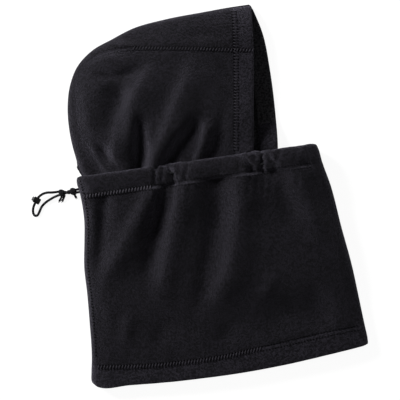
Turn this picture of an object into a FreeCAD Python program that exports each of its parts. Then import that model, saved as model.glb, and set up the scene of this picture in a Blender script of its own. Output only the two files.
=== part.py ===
import FreeCAD, Part
import math
import os

# Balaclava: a fleece hood sewn into a neck gaiter, lying flat on its left side.
# Millimetres. +X points out of the face opening, +Y to the crown, +Z away from the
# table, which is z = 0. The near layers are the wearer's right side.

# ---- Cloth and thread
FLEECE = 2.5            # one layer of fleece
BUTT_GAP = 0.3          # between two cloth edges that a seam holds together
THREAD_WIDTH = 1.2
THREAD_LIFT = 0.2       # air under a row of thread
STITCH_STEP = 6.0       # a row of thread follows the cloth this closely
THREAD_RISE = 0.6
NEEDLE_GAUGE = 5.4      # between the two rows of a twin-needle seam

# ---- Gaiter
TUNNEL_LEFT = -150.0    # the drawcord tunnel, at the gaiter's top
TUNNEL_RIGHT = 138.0
TUNNEL_TOP = 42.0
TUNNEL_SEAM = 18.0
CHANNEL = 3.5           # room for the cord between the tunnel's two layers
TUNNEL_WALL = 2 * FLEECE + CHANNEL
TUNNEL_HEIGHT = 31.5
HEM_WALL = 2 * FLEECE   # the turned bottom hem is double
HEM_HALF_WIDTH = 167.0
HEM_SEAM_END = -181.0
HEM_SEAM_MIDDLE = -193.5
BOTTOM_END = -205.0
BOTTOM_MIDDLE = -217.4
GAITER_LEFT = [(-149, TUNNEL_SEAM), (-150, -18), (-157, -70), (-159, -130)]
GAITER_RIGHT = [(139, TUNNEL_SEAM), (149, -13), (155, -62), (161, -111)]

# ---- Hood
NECK_SEAM = -95.0       # where the hood ends inside the gaiter
NECK_BACK = -136.0
FACE_TOP = (84.5, 217)
HOOD_BACK = [FACE_TOP, (26, 216), (-20, 213.5), (-60, 208), (-111, 189), (-133, 171),
             (-147, 140), (-152, 100), (-148, 66), (NECK_BACK, 46)]
NEAR_FACE_FOOT = (62.5, TUNNEL_TOP)
FAR_FACE = [FACE_TOP, (94, 180), (95.5, 138), (94.5, 99), (91, TUNNEL_TOP)]
NEAR_NECK_FRONT = 50.0
FAR_NECK_FRONT = 84.0
FACE_HEM = 22.0
CROWN_SEAM = [(125, 153), (77.5, 161), (1, 173), (-63, 183), (-91, 183.5), (-122.5, 171.4),
              (-134.2, 156.6), (-139, 130), (-140, 100), (-135, 66), (-125, 46)]
CROWN_ROW_START = (48, 165.6)   # the seam's thread runs back from the face hem
STRIP_BACK = -125.0     # the crown strip's seam inside the neck
HOOD_EDGE_HEIGHT = 14.0
HOOD_MIDDLE_HEIGHT = 30.0
HOOD_PUFF_RUN = 45.0
NECK_NEAR = 22.5        # top of the hood's near layer inside the gaiter
NECK_FAR = 9.5          # underside of its far layer inside the tunnel

# ---- Drawcord and cord lock
CORD = 3.0
CHANNEL_Z = FLEECE + CHANNEL / 2    # the cord's height in the tunnel's far layer
CORD_Y = 25.0           # the cord leaves the tunnel's back end here
STRAND_PITCH = 3.2      # between the two strands that leave side by side
STRAND_START = -80.0    # inner end of the two strands that are pulled out
FAR_STRAND_Y = 34.0     # the cord doubles back here inside the tunnel
LOOP_CENTRE = (-188.7, 10.8)
LOOP_RADIUS = 17.2      # of the loop's back strand, which the lock slides on
LOCK_ANGLE = 145.0      # the lock's place on that arc, from +X
LOCK_RADIUS = 3.75
LOCK_INNER = -4.6       # ends of the barrel, from the cord, along the arc's radius
LOCK_OUTER = 3.4
LOCK_FLOOR = 0.8
LOCK_BORE = 4.3
LOCK_RIBS = 16
PLUNGER_RADIUS = 2.6
PLUNGER_OUT = 2.2       # how far the button stands out
PLUNGER_TRAVEL = 1.2
SLIDING_CLEARANCE = 0.08
SPRING_LENGTH = 1.4
INNER_KNOT = (-157.5, 25.0)
OUTER_KNOT = (-171.5, 25.0)
KNOT_LENGTH = 6.4
KNOT_WIDTH = 8.4
KNOT_HEIGHT = 7.4
KNOT_BITE = 1.0         # how far a cord runs into its knot

ABOVE = 120.0           # taller than anything here
os.makedirs("parts", exist_ok=True)


# ---- Helpers

def vector(x, y, z=0.0):
    return FreeCAD.Vector(x, y, z)


def curve(points):
    """A smooth edge through plan points."""
    spline = Part.BSplineCurve()
    spline.interpolate([vector(*point) for point in points])
    return spline.toShape()


def beside(points, inset):
    """A curve through points that are each moved to the left of the way they run."""
    shifted = []
    for index, (x, y) in enumerate(points):
        before = points[max(index - 1, 0)]
        after = points[min(index + 1, len(points) - 1)]
        length = math.dist(before, after)
        shifted.append((x - inset * (after[1] - before[1]) / length,
                        y + inset * (after[0] - before[0]) / length))
    return curve(shifted)


def line(start, end):
    return Part.makeLine(vector(*start), vector(*end))


def arc(start, middle, end):
    return Part.Arc(vector(*start), vector(*middle), vector(*end)).toShape()


def prism(wire, low=-20.0, high=ABOVE):
    """The upright block over a closed plan outline."""
    face = Part.Face(wire)
    face.translate(vector(0, 0, low))
    return face.extrude(vector(0, 0, high - low))


def ease(value, start, end):
    """0 at start, 1 at end, smooth between."""
    part = min(max((value - start) / (end - start), 0.0), 1.0)
    return part * part * (3 - 2 * part)


def inward(wire, x, y):
    """Distance from a closed plan outline, 0 outside it."""
    point = vector(x, y)
    if not Part.Face(wire).isInside(point, 0.01, True):
        return 0.0
    return wire.distToShape(Part.Vertex(point))[0]


def puff(distance, run):
    """How a flat-laid edge rises: 0 at the edge, 1 at run and beyond."""
    return math.sin(math.pi / 2 * min(distance / run, 1.0))


def surface(height, x_range, y_range, columns, rows):
    """A smooth face at z = height(x, y)."""
    grid = []
    for i in range(columns):
        x = x_range[0] + (x_range[1] - x_range[0]) * i / (columns - 1)
        column = []
        for j in range(rows):
            y = y_range[0] + (y_range[1] - y_range[0]) * j / (rows - 1)
            column.append(vector(x, y, height(x, y)))
        grid.append(column)
    face = Part.BSplineSurface()
    face.interpolate(grid)
    return face.toShape()


def over(face, rise=0.0):
    """Everything above a surface that is lifted by rise."""
    moved = face.copy()
    moved.translate(vector(0, 0, rise))
    return moved.extrude(vector(0, 0, ABOVE))


def layer(face, rise, thickness):
    """A layer of even upright thickness that starts at rise over a surface."""
    moved = face.copy()
    moved.translate(vector(0, 0, rise))
    return moved.extrude(vector(0, 0, thickness))


def save(name, shape):
    solids = [solid for solid in shape.Solids if solid.Volume > 0.5]
    result = solids[0] if len(solids) == 1 else Part.makeCompound(solids)
    if not result.isValid():
        print("NOT VALID", name)
    result.exportStep("parts/%s.step" % name)
    box = result.optimalBoundingBox(False)
    size = (box.XMin, box.XMax, box.YMin, box.YMax, box.ZMin, box.ZMax)
    print("%-22s %2d solids %9.0f mm3 " % (name, len(solids), result.Volume)
          + " ".join("%.1f" % value for value in size))
    return result


# ---- Gaiter outlines and surfaces

def gaiter_sides(inset):
    """Both side edges, from the tunnel to the bottom edge."""
    left = GAITER_LEFT + [(-HEM_HALF_WIDTH + 3, HEM_SEAM_END), (-HEM_HALF_WIDTH, BOTTOM_END)]
    right = GAITER_RIGHT + [(HEM_HALF_WIDTH - 3, HEM_SEAM_END), (HEM_HALF_WIDTH, BOTTOM_END)]
    return [(x + inset, y) for x, y in left], [(x - inset, y) for x, y in right]


def gaiter_outline():
    """The whole gaiter below the tunnel, with the hem."""
    left, right = gaiter_sides(0.0)
    bottom = arc(left[-1], (0, BOTTOM_MIDDLE), right[-1])
    return Part.Wire([line(right[0], left[0]), curve(left), bottom, curve(right)])


def gaiter_inside(inset):
    """The outline of the space inside, run on past both open ends."""
    left, right = gaiter_sides(inset)
    over_top = TUNNEL_SEAM + 5
    past_bottom = BOTTOM_MIDDLE - 20
    corners = [right[0], (right[0][0], over_top), (left[0][0], over_top), left[0]]
    feet = [left[-1], (left[-1][0], past_bottom), (right[-1][0], past_bottom), right[-1]]
    ends = [line(a, b) for chain in (corners, feet) for a, b in zip(chain, chain[1:])]
    return Part.Wire(Part.sortEdges(ends + [curve(left), curve(right)])[0])


def hem_seam():
    end = HEM_SEAM_END + 4
    return arc((-200, end), (0, HEM_SEAM_MIDDLE), (200, end))


def hem_region():
    """Everything below the bottom hem's seam."""
    end = HEM_SEAM_END + 4
    sides = [line((200, end), (200, -260)), line((200, -260), (-200, -260)),
             line((-200, -260), (-200, end))]
    return prism(Part.Wire([hem_seam()] + sides))


GAITER = gaiter_outline()
GAITER_TUBE = gaiter_inside(0.0)


def gaiter_height(x, y):
    """The gaiter's near layer: high over the tunnel, lower towards the hem."""
    middle = 25.5 + 6.0 * ease(y, -40, 10) - 9.0 * ease(-y, 100, 160)
    edge = 20.0 - 6.0 * ease(-y, 100, 160)
    y_between = min(max(y, BOTTOM_END), TUNNEL_SEAM - 14)
    return edge + (middle - edge) * puff(inward(GAITER_TUBE, x, y_between), 14.0)


def gaiter_parts():
    near = surface(gaiter_height, (-185, 185), (-235, 35), 29, 21)
    outer = prism(GAITER, 0.0).cut(over(near))
    hem = hem_region()
    above_hem = hem_region()
    above_hem.translate(vector(0, BUTT_GAP))
    tube = prism(gaiter_inside(FLEECE), FLEECE).cut(over(near, -FLEECE))
    mouth = prism(gaiter_inside(HEM_WALL), HEM_WALL).cut(over(near, -HEM_WALL))
    body = outer.cut(above_hem).cut(tube)
    band = outer.common(hem).cut(mouth)
    return near, body, band


def stadium(radius, y_low, y_high):
    """A flat-laid ring's outline in the X-Z plane, drawn out along Y."""
    middle = TUNNEL_HEIGHT / 2
    centre_left = TUNNEL_LEFT + middle
    centre_right = TUNNEL_RIGHT - middle
    block = Part.makeBox(centre_right - centre_left, y_high - y_low, 2 * radius,
                         vector(centre_left, y_low, middle - radius))
    ends = [Part.makeCylinder(radius, y_high - y_low, vector(x, y_low, middle),
                              vector(0, 1, 0)) for x in (centre_left, centre_right)]
    return block.fuse(ends)


def strand_places():
    return [CORD_Y - STRAND_PITCH / 2, CORD_Y + STRAND_PITCH / 2]


def buttonhole():
    """The slot in the tunnel's back end that both strands leave through."""
    radius = CORD / 2 + 0.5
    cylinders = [Part.makeCylinder(radius, 26, vector(-134, y, CHANNEL_Z), vector(-1, 0, 0))
                 for y in strand_places()]
    slot = Part.makeBox(26, STRAND_PITCH, 2 * radius,
                        vector(-160, strand_places()[0], CHANNEL_Z - radius))
    return slot.fuse(cylinders)


def tunnel():
    middle = TUNNEL_HEIGHT / 2
    outer = stadium(middle, TUNNEL_SEAM, TUNNEL_TOP)
    hollow = stadium(middle - TUNNEL_WALL, TUNNEL_SEAM, TUNNEL_TOP)
    channel = stadium(middle - FLEECE, TUNNEL_SEAM + 2, TUNNEL_TOP - FLEECE)
    lining = stadium(middle - FLEECE - CHANNEL, TUNNEL_SEAM + 2, TUNNEL_TOP - FLEECE)
    return outer.cut(hollow).cut(channel.cut(lining)).cut(buttonhole())


# ---- Hood outlines and surfaces

def hood_outline(far):
    neck_front = (FAR_NECK_FRONT if far else NEAR_NECK_FRONT, NECK_SEAM)
    back = curve(HOOD_BACK)
    neck = [line(HOOD_BACK[-1], (NECK_BACK, NECK_SEAM)),
            line((NECK_BACK, NECK_SEAM), neck_front)]
    if far:
        face = [line(neck_front, FAR_FACE[-1]), curve(FAR_FACE[::-1])]
    else:
        face = [line(neck_front, NEAR_FACE_FOOT), line(NEAR_FACE_FOOT, FACE_TOP)]
    return Part.Wire([back] + neck + face)


def hood_back_line(inset=0.0):
    """The back outline, closed far out past the face and the neck."""
    back = beside(HOOD_BACK, inset)
    start, end = (back.valueAt(back.FirstParameter), back.valueAt(back.LastParameter))
    corners = [(end.x, end.y), (NECK_BACK + inset, -130), (140, -130), (140, start.y),
               (start.x, start.y)]
    return Part.Wire([back] + [line(a, b) for a, b in zip(corners, corners[1:])])


def crown_region(gap=0.0):
    """Everything on the crown's side of the crown seam, and gap past it."""
    seam = beside(CROWN_SEAM, gap)
    start, end = (seam.valueAt(seam.FirstParameter), seam.valueAt(seam.LastParameter))
    corners = [(end.x, end.y), (STRIP_BACK + gap, -110), (-200, -110), (-200, 260),
               (125, 260), (start.x, start.y)]
    rest = [line(a, b) for a, b in zip(corners, corners[1:])]
    return prism(Part.Wire([seam] + rest))


def face_band(face_edges, gap=0.0):
    """All that lies within the face hem's width of a face edge, and gap behind that."""
    shifted = [edge.copy() for edge in face_edges]
    for edge in shifted:
        edge.translate(vector(-FACE_HEM - gap, 0))
    start = Part.Wire(shifted).OrderedVertexes[0].Point
    end = Part.Wire(shifted).OrderedVertexes[-1].Point
    top, low = (start, end) if start.y > end.y else (end, start)
    corners = [(top.x, top.y), (top.x, 260), (130, 260), (130, low.y), (low.x, low.y)]
    rest = [line(a, b) for a, b in zip(corners[:-1], corners[1:])]
    return prism(Part.Wire(Part.sortEdges(shifted + rest)[0]))


BACK_LINE = hood_back_line()


def hood_near_height(x, y):
    """The hood's near layer: puffed over the head, flat inside the neck."""
    dome = HOOD_EDGE_HEIGHT + (HOOD_MIDDLE_HEIGHT - HOOD_EDGE_HEIGHT) * puff(
        inward(BACK_LINE, x, y), HOOD_PUFF_RUN)
    dome -= 5.0 * ease(x, 10, 90)
    return NECK_NEAR + (dome - NECK_NEAR) * ease(y, 50, 95)


def hood_far_height(x, y):
    """The underside of the hood's far layer: on the table, but over the tunnel's wall."""
    on_gaiter = FLEECE + 0.3
    inside = on_gaiter + (NECK_FAR - on_gaiter) * ease(y, -25, 10)
    on_table = 0.1
    return on_table + (inside - on_table) * (1 - ease(y, 48, 85))


def hood_parts():
    near = surface(hood_near_height, (-170, 130), (-110, 235), 23, 31)
    far = surface(hood_far_height, (-170, 130), (-110, 235), 4, 40)
    near_layer = layer(near, -FLEECE, FLEECE).common(prism(hood_outline(False)))
    far_layer = layer(far, 0.0, FLEECE).common(prism(hood_outline(True)))
    inside = prism(hood_back_line(FLEECE))
    rim = prism(hood_outline(False)).cut(inside)
    fold = rim.common(over(far, FLEECE)).cut(over(near, -FLEECE))
    crown = crown_region()
    panel_side = crown_region(BUTT_GAP)
    near_edges = [line(FACE_TOP, NEAR_FACE_FOOT),
                  line(NEAR_FACE_FOOT, (NEAR_NECK_FRONT, NECK_SEAM - 10))]
    far_edges = [curve(FAR_FACE), line(FAR_FACE[-1], (FAR_NECK_FRONT, NECK_SEAM - 10))]
    near_band = face_band(near_edges)
    far_band = face_band(far_edges)
    behind_near = face_band(near_edges, BUTT_GAP)
    behind_far = face_band(far_edges, BUTT_GAP)
    shapes = {
        "hood_panel_right": near_layer.cut(panel_side).cut(behind_near),
        "hood_panel_left": far_layer.cut(panel_side).cut(behind_far),
        "crown_strip": near_layer.common(crown).cut(behind_near).fuse(
            [far_layer.common(crown).cut(behind_far), fold.cut(behind_near)]),
        "face_hem": near_layer.common(near_band).fuse(
            [far_layer.common(far_band), fold.common(near_band)]),
    }
    return near, far, shapes


# ---- Seams

def height_of(face):
    """A function that gives the surface's height at a plan point."""
    def height(x, y):
        probe = Part.makeLine(vector(x, y, -20), vector(x, y, ABOVE))
        return face.distToShape(probe)[1][0][0].z
    return height


def thread_row(edge, height, rise):
    """A ribbon of thread along a plan edge, rise over a surface."""
    points = edge.discretize(Number=max(int(edge.Length / STITCH_STEP), 2))
    sides = [[], []]
    for index, point in enumerate(points):
        along = points[min(index + 1, len(points) - 1)] - points[max(index - 1, 0)]
        along.normalize()
        for side, sign in zip(sides, (1, -1)):
            x = point.x - sign * along.y * THREAD_WIDTH / 2
            y = point.y + sign * along.x * THREAD_WIDTH / 2
            side.append(vector(x, y, height(x, y) + rise))
    face = Part.BSplineSurface()
    face.interpolate(sides)
    return face.toShape().extrude(vector(0, 0, THREAD_RISE))


def thread_rows(edges, height, rise=THREAD_LIFT):
    return [thread_row(edge, height, rise) for edge in edges]


def crown_seams(near, far):
    points = [CROWN_ROW_START] + CROWN_SEAM[2:]
    edges = [beside(points, side * NEEDLE_GAUGE / 2) for side in (-1, 1)]
    right = thread_rows(edges, height_of(near))
    left = thread_rows(edges, height_of(far), FLEECE + THREAD_LIFT)
    return Part.makeCompound(right), Part.makeCompound(left)


def face_hem_rows(near):
    edges = []
    for inset in (FACE_HEM - NEEDLE_GAUGE / 2, FACE_HEM + NEEDLE_GAUGE / 2):
        edges.append(line((FACE_TOP[0] - inset, FACE_TOP[1] - 3),
                          (NEAR_FACE_FOOT[0] - inset, NEAR_FACE_FOOT[1])))
    return Part.makeCompound(thread_rows(edges, height_of(near)))


def tunnel_rows():
    """Both rows of the tunnel's seam, on its near face and inside its far one."""
    left = TUNNEL_LEFT + TUNNEL_HEIGHT / 2
    length = TUNNEL_RIGHT - TUNNEL_LEFT - TUNNEL_HEIGHT
    rows = []
    for y in (TUNNEL_SEAM + 1.0, TUNNEL_SEAM + 1.0 + NEEDLE_GAUGE):
        for z, width in ((TUNNEL_HEIGHT, length), (TUNNEL_WALL, length - 8)):
            rows.append(Part.makeBox(width, THREAD_WIDTH, THREAD_RISE, vector(
                left + (length - width) / 2, y, z + THREAD_LIFT)))
    return Part.makeCompound(rows)


def bottom_hem_rows(near):
    """Both rows on the hem's near face, and both inside its far one."""
    end_x = HEM_HALF_WIDTH - 9
    edges = []
    for step in (2.5, 2.5 + NEEDLE_GAUGE):
        end_y = HEM_SEAM_END - step - 1
        edges.append(arc((-end_x, end_y), (0, HEM_SEAM_MIDDLE - step), (end_x, end_y)))
    top = thread_rows(edges, height_of(near))
    inside = thread_rows(edges, lambda x, y: HEM_WALL)
    return Part.makeCompound(top + inside)


def neck_rows(near, far):
    """Where the hood's foot is sewn to the gaiter, seen from inside the neck."""
    edges = [line((NECK_BACK + 6, NECK_SEAM + step), (45, NECK_SEAM + step))
             for step in (3.0, 3.0 + NEEDLE_GAUGE)]
    under_near = -FLEECE - THREAD_LIFT - THREAD_RISE
    return Part.makeCompound(thread_rows(edges, height_of(near), under_near)
                             + thread_rows(edges, height_of(far), FLEECE + THREAD_LIFT))


def gaiter_back_rows(near):
    points = [(x + 5.0, y - 4.0) for x, y in GAITER_LEFT]
    edge = curve(points + [(-HEM_HALF_WIDTH + 8, HEM_SEAM_END)])
    return Part.makeCompound(thread_rows([edge], height_of(near)))


def buttonhole_stitching():
    """The stitched frame round the cord's way out of the tunnel."""
    middle = TUNNEL_HEIGHT / 2
    skin = stadium(middle + THREAD_RISE, CORD_Y - 5, CORD_Y + 5).cut(
        stadium(middle, CORD_Y - 5, CORD_Y + 5))
    patch = Part.makeBox(16, 10, 7.2, vector(TUNNEL_LEFT - 1, CORD_Y - 5, 0.8))
    return skin.common(patch).cut(buttonhole())


# ---- Drawcord

def rounded_path(points):
    """Straight runs joined by tangent arcs, each 0.45 of the shorter run's reach."""
    edges = []
    radii = []
    start = points[0]
    for previous, corner, following in zip(points, points[1:], points[2:]):
        into = corner - previous
        out = following - corner
        reach = 0.45 * min(into.Length, out.Length)
        half = into.getAngle(out) / 2
        radius = reach / math.tan(half)
        radii.append(radius)
        into.normalize()
        out.normalize()
        first = corner - into * reach
        last = corner + out * reach
        inwards = (out - into).normalize()
        middle = corner + inwards * (radius / math.cos(half) - radius)
        edges.append(Part.LineSegment(start, first).toShape())
        edges.append(Part.Arc(first, middle, last).toShape())
        start = last
    edges.append(Part.LineSegment(start, points[-1]).toShape())
    return Part.Wire(edges), radii


def tube(name, points):
    """A cord along a route; prints its length, radii and volume check."""
    route = [vector(*point) for point in points]
    wire, radii = rounded_path(route)
    ring = Part.Wire(Part.makeCircle(CORD / 2, route[0], route[1] - route[0]))
    shape = wire.makePipeShell([ring], True, True)
    expected = math.pi * CORD ** 2 / 4 * wire.Length
    print("%s: length %.1f, radii %s, volume over section x length %.4f" % (
        name, wire.Length, " ".join("%.1f" % radius for radius in radii),
        shape.Volume / expected))
    return shape


def on_arc(angle, radius=LOOP_RADIUS):
    return (LOOP_CENTRE[0] + radius * math.cos(math.radians(angle)),
            LOOP_CENTRE[1] + radius * math.sin(math.radians(angle)))


# The loop leaves the outer knot, follows the arc that the lock slides on, passes through
# the lock, turns at its tip on the table and comes back to the knot.
TABLE_Z = CORD / 2 + 0.1
KNOT_MOUTH = OUTER_KNOT[0] - KNOT_LENGTH / 2 + KNOT_BITE
LOOP_ROUTE = [(KNOT_MOUTH, 27.2, LOCK_RADIUS)]
LOOP_ROUTE += [on_arc(angle, LOOP_RADIUS / 0.984) + (LOCK_RADIUS,)
               for angle in (69, 90, 111, 132, 153)]
LOOP_ROUTE += [(-207.9, 12.6, 3.4), (-209.2, 7.0, 2.4), (-208.0, 2.6, TABLE_Z),
               (-204.2, 2.2, TABLE_Z), (-201.2, 6.8, TABLE_Z), (-197.8, 12.6, TABLE_Z),
               (-192.2, 16.9, 1.9), (-185.6, 19.9, 2.6), (-179.4, 22.2, 3.4),
               (KNOT_MOUTH, 23.4, 3.8)]


def straight_cord(start, end):
    run = vector(*end) - vector(*start)
    return Part.makeCylinder(CORD / 2, run.Length, vector(*start), run)


def bend(x, y, side):
    """The cord's half turn round a folded end of the tunnel."""
    middle = TUNNEL_HEIGHT / 2
    ring = Part.makeTorus(middle - CHANNEL_Z, CORD / 2, vector(x, y, middle), vector(0, 1, 0))
    corner = vector(x if side > 0 else x - 40, y - 5, middle - 30)
    return ring.common(Part.makeBox(40, 10, 60, corner))


def drawcord_ring():
    """The cord inside the tunnel: along both layers, then doubled back at the back end."""
    left = TUNNEL_LEFT + TUNNEL_HEIGHT / 2
    right = TUNNEL_RIGHT - TUNNEL_HEIGHT / 2
    near_z = TUNNEL_HEIGHT - CHANNEL_Z
    low_y, high_y = strand_places()
    turn = (FAR_STRAND_Y - high_y) / 2
    ring = Part.makeTorus(turn, CORD / 2, vector(STRAND_START, high_y + turn, CHANNEL_Z))
    doubled = ring.common(Part.makeBox(20, 30, 10, vector(STRAND_START, high_y - 10, 0)))
    return straight_cord((STRAND_START, low_y, CHANNEL_Z), (right, low_y, CHANNEL_Z)).fuse([
        bend(right, low_y, 1),
        straight_cord((right, low_y, near_z), (left, FAR_STRAND_Y, near_z)),
        bend(left, FAR_STRAND_Y, -1),
        straight_cord((left, FAR_STRAND_Y, CHANNEL_Z), (STRAND_START, FAR_STRAND_Y, CHANNEL_Z)),
        doubled])


def strands(start, end):
    pair = [straight_cord((start, y, CHANNEL_Z), (end, y, CHANNEL_Z))
            for y in strand_places()]
    return Part.makeCompound(pair)


def knot(centre):
    """A pulled-down knot: a rounded block the size of its wraps, just off the table."""
    block = Part.makeBox(KNOT_LENGTH, KNOT_WIDTH, KNOT_HEIGHT,
                         vector(centre[0] - KNOT_LENGTH / 2, centre[1] - KNOT_WIDTH / 2, 0.2))
    return block.makeFillet(1.5, block.Edges)


def cord_ends():
    """The cut ends: one beside the inner knot, two side by side below the outer one."""
    start_y = INNER_KNOT[1] - KNOT_WIDTH / 2 + KNOT_BITE / 3
    return Part.makeCompound([
        straight_cord((-156.7, start_y, 2.6), (-155.2, 16.4, TABLE_Z)),
        straight_cord((-171.4, start_y, 2.4), (-176.0, 15.6, TABLE_Z)),
        straight_cord((-168.2, start_y, 2.4), (-172.8, 14.8, TABLE_Z))])


# ---- Cord lock, made along +X with the cord through its origin along Y

def lock_place(shape):
    placed = shape.copy()
    placed.rotate(vector(0, 0, 0), vector(0, 0, 1), LOCK_ANGLE)
    x, y = on_arc(LOCK_ANGLE)
    placed.translate(vector(x, y, LOCK_RADIUS))
    return placed


def rod(radius, start, length):
    return Part.makeCylinder(radius, length, vector(start, 0, 0), vector(1, 0, 0))


def cord_lock_body():
    """The ribbed barrel, open at its outer end for the button and bored for the cord."""
    length = LOCK_OUTER - LOCK_INNER
    barrel = rod(LOCK_RADIUS, LOCK_INNER, length)
    barrel = barrel.makeFillet(0.7, [barrel.Edges[0], barrel.Edges[2]])
    bore = Part.makeCylinder(LOCK_BORE / 2, 12, vector(0, -6, 0), vector(0, 1, 0))
    socket = rod(PLUNGER_RADIUS + SLIDING_CLEARANCE, LOCK_INNER + LOCK_FLOOR, length)
    grooves = []
    for index in range(LOCK_RIBS):
        groove = Part.makeBox(length - 3.0, 0.6, 0.5,
                              vector(LOCK_INNER + 1.5, -0.3, LOCK_RADIUS - 0.3))
        groove.rotate(vector(0, 0, 0), vector(1, 0, 0), (index + 0.5) * 360 / LOCK_RIBS)
        grooves.append(groove)
    return barrel.cut(grooves).cut(socket).cut(bore)


def cord_lock_plunger():
    """The button: its eye keeps the cord through the barrel, pressed or not."""
    inner = LOCK_INNER + LOCK_FLOOR + SPRING_LENGTH
    stem = rod(PLUNGER_RADIUS, inner, LOCK_OUTER + PLUNGER_OUT - inner)
    eye_inner = -CORD / 2 - 0.3
    eye_outer = CORD / 2 + 0.25 + PLUNGER_TRAVEL
    eye = Part.makeBox(eye_outer - eye_inner, 12, CORD + 0.8,
                       vector(eye_inner, -6, -CORD / 2 - 0.4))
    return stem.cut(eye)


def cord_lock_spring():
    start = LOCK_INNER + LOCK_FLOOR
    return rod(1.9, start, SPRING_LENGTH).cut(rod(1.2, start, SPRING_LENGTH))


# ---- Build

def main():
    gaiter_near, gaiter_body, bottom_hem = gaiter_parts()
    hood_near, hood_far, hood = hood_parts()
    crown_right, crown_left = crown_seams(hood_near, hood_far)
    bitten = KNOT_LENGTH / 2
    nodes = dict(hood)
    nodes["gaiter_body"] = gaiter_body
    nodes["bottom_hem"] = bottom_hem
    nodes["drawcord_tunnel"] = tunnel()
    nodes["crown_seam_right"] = crown_right
    nodes["crown_seam_left"] = crown_left
    nodes["face_hem_stitching"] = face_hem_rows(hood_near)
    nodes["tunnel_stitching"] = tunnel_rows()
    nodes["bottom_hem_stitching"] = bottom_hem_rows(gaiter_near)
    nodes["neck_seam"] = neck_rows(hood_near, hood_far)
    nodes["gaiter_back_seam"] = gaiter_back_rows(gaiter_near)
    nodes["buttonhole_stitching"] = buttonhole_stitching()
    nodes["drawcord_ring"] = drawcord_ring()
    nodes["drawcord_strands"] = strands(STRAND_START, INNER_KNOT[0] + bitten - KNOT_BITE)
    nodes["drawcord_pair"] = strands(INNER_KNOT[0] - bitten + KNOT_BITE,
                                     OUTER_KNOT[0] + bitten - KNOT_BITE)
    nodes["drawcord_loop"] = tube("drawcord_loop", LOOP_ROUTE)
    nodes["drawcord_ends"] = cord_ends()
    nodes["inner_knot"] = knot(INNER_KNOT)
    nodes["outer_knot"] = knot(OUTER_KNOT)
    nodes["cord_lock_body"] = lock_place(cord_lock_body())
    nodes["cord_lock_plunger"] = lock_place(cord_lock_plunger())
    nodes["cord_lock_spring"] = lock_place(cord_lock_spring())
    for name, shape in nodes.items():
        save(name, shape)


main()
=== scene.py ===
import math
import random

import bpy
import numpy as np
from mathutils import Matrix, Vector, geometry, noise


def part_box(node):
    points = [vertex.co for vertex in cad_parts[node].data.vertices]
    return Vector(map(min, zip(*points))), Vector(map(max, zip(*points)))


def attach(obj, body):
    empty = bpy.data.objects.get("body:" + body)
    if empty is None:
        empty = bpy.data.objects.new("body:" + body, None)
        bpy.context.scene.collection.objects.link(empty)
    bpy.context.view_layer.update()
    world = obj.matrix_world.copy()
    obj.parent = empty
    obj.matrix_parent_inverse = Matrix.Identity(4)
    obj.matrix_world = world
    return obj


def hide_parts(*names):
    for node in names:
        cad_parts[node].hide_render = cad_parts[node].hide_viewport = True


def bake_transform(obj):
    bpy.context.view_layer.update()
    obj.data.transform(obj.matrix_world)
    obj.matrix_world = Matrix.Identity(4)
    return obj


# A fleece balaclava lying flat on its left side. Plan points and heights are in millimetres
# in the CAD frame, and go to metres where a mesh is made. The cord's routes, the camera, the
# lights, the textures and the declarations at the end are in metres.

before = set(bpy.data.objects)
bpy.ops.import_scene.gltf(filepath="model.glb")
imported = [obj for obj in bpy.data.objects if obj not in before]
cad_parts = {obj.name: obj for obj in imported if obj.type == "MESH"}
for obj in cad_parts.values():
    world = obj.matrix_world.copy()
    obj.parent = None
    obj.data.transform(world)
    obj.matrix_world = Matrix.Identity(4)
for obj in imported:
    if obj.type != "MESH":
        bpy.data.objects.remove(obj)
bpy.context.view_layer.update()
random.seed(7)
MM = 0.001


def linked(name, data):
    """An object of some data, linked to the scene."""
    made = bpy.data.objects.new(name, data)
    bpy.context.scene.collection.objects.link(made)
    return made


# ---- Camera, straight above, turned as in the photograph

camera = linked("camera", bpy.data.cameras.new("camera"))
camera.data.sensor_width = 36.0
camera.data.lens = 121.0
camera.location = (-0.0086, -0.0062, 1.615)
camera.rotation_euler = (0.0, 0.0, math.radians(-7.99))
bpy.context.scene.camera = camera


# ---- Materials

def set_inputs(node, values):
    """Fixed values on a node's own sockets."""
    for socket, value in values.items():
        node.inputs[socket].default_value = value


def node_material(name, roughness, specular, sheen=0.0):
    """A Principled material, its node tree and its shader."""
    made = bpy.data.materials.new(name)
    made.use_nodes = True
    shader = made.node_tree.nodes["Principled BSDF"]
    set_inputs(shader, {"Roughness": roughness, "Specular IOR Level": specular})
    if sheen:
        set_inputs(shader, {"Sheen Weight": sheen, "Sheen Roughness": 0.45,
                            "Sheen Tint": (0.72, 0.68, 0.86, 1.0)})
    return made, made.node_tree, shader


def colour_by(tree, shader, factor, stops):
    """Base colour along a factor, as (place, colour) stops."""
    ramp = tree.nodes.new("ShaderNodeValToRGB")
    tree.links.new(factor, ramp.inputs["Fac"])
    elements = ramp.color_ramp.elements
    for element, (place, colour) in zip(elements, (stops[0], stops[-1])):
        element.position = place
        element.color = (*colour, 1.0)
    for place, colour in stops[1:-1]:
        elements.new(place).color = (*colour, 1.0)
    tree.links.new(ramp.outputs["Color"], shader.inputs["Base Color"])


def noise_node(tree, place, scale, detail, rough=0.55):
    """Fractal noise at a place, with scale in waves to the metre."""
    node = tree.nodes.new("ShaderNodeTexNoise")
    set_inputs(node, {"Scale": scale, "Detail": detail, "Roughness": rough})
    tree.links.new(place, node.inputs["Vector"])
    return node.outputs["Fac"]


def math_node(tree, kind, first, second):
    """One operation on two values, each a number or a socket."""
    node = tree.nodes.new("ShaderNodeMath")
    node.operation = kind
    for socket, value in zip(node.inputs, (first, second)):
        if isinstance(value, float):
            socket.default_value = value
        else:
            tree.links.new(value, socket)
    return node.outputs["Value"]


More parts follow.
